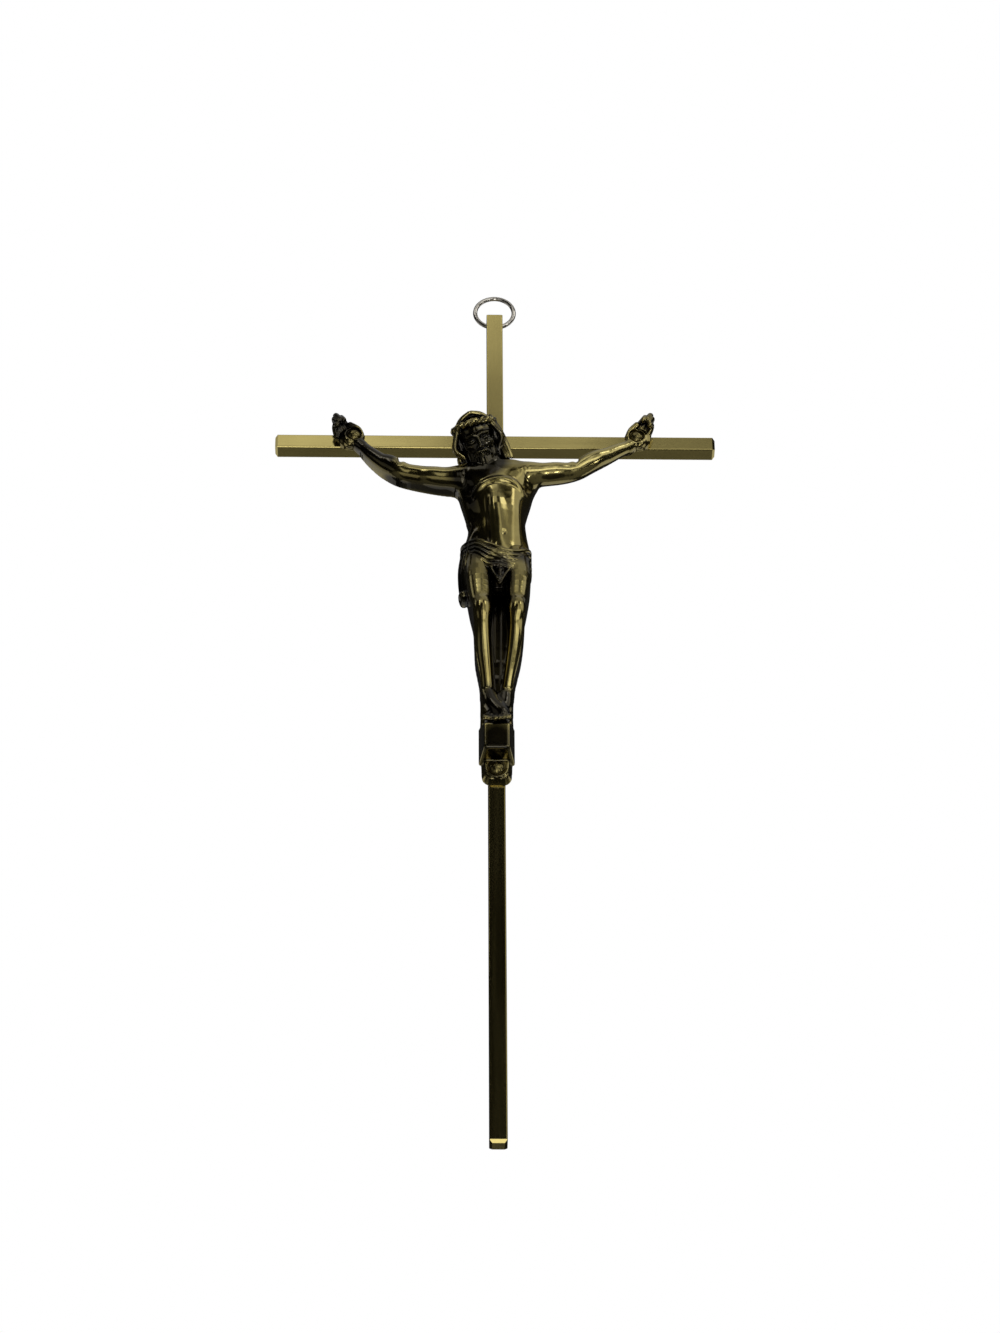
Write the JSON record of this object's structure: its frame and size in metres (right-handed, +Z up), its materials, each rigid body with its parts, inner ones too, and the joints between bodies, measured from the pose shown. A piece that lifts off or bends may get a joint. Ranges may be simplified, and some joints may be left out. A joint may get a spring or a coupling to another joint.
{
  "type": "hanging crucifix",
  "caption": "Slim square-bar cross with a flat-backed cast figure fixed by dome-headed nails and a wire ring for hanging it on a wall.",
  "frame": {"origin": "where the centre lines of the two bars cross, on the plane of their backs", "axes": "+Z up along the upright, +X along the crossbar to the viewer's right, -Y out of the front towards the viewer"},
  "size_m": [0.134, 0.024, 0.3088],
  "materials": {
    "bar_brass": "satin, drawn along the bar",
    "rivet_brass": "satin, filed flush",
    "figure_bronze": "antique bronze, dark recesses and rubbed gold highs",
    "nail_bronze": "antique bronze, polished domes",
    "ring_metal": "bright nickel plate"
  },
  "bodies": {
    "cross": {"upright_bar": "bar_brass", "crossbar": "bar_brass", "lap_rivet": "rivet_brass", "corpus": "figure_bronze", "left_palm_nail": "nail_bronze", "right_palm_nail": "nail_bronze", "foot_nail": "nail_bronze"},
    "ring": {"hanging_ring": "ring_metal"}
  },
  "joints": [
    {"name": "ring_swing", "type": "hinge", "parent": "cross", "child": "ring", "pos_m": [0, -0.0025, 0.0494], "axis": [1, 0, 0], "range_deg": [-160, 160]}
  ]
}
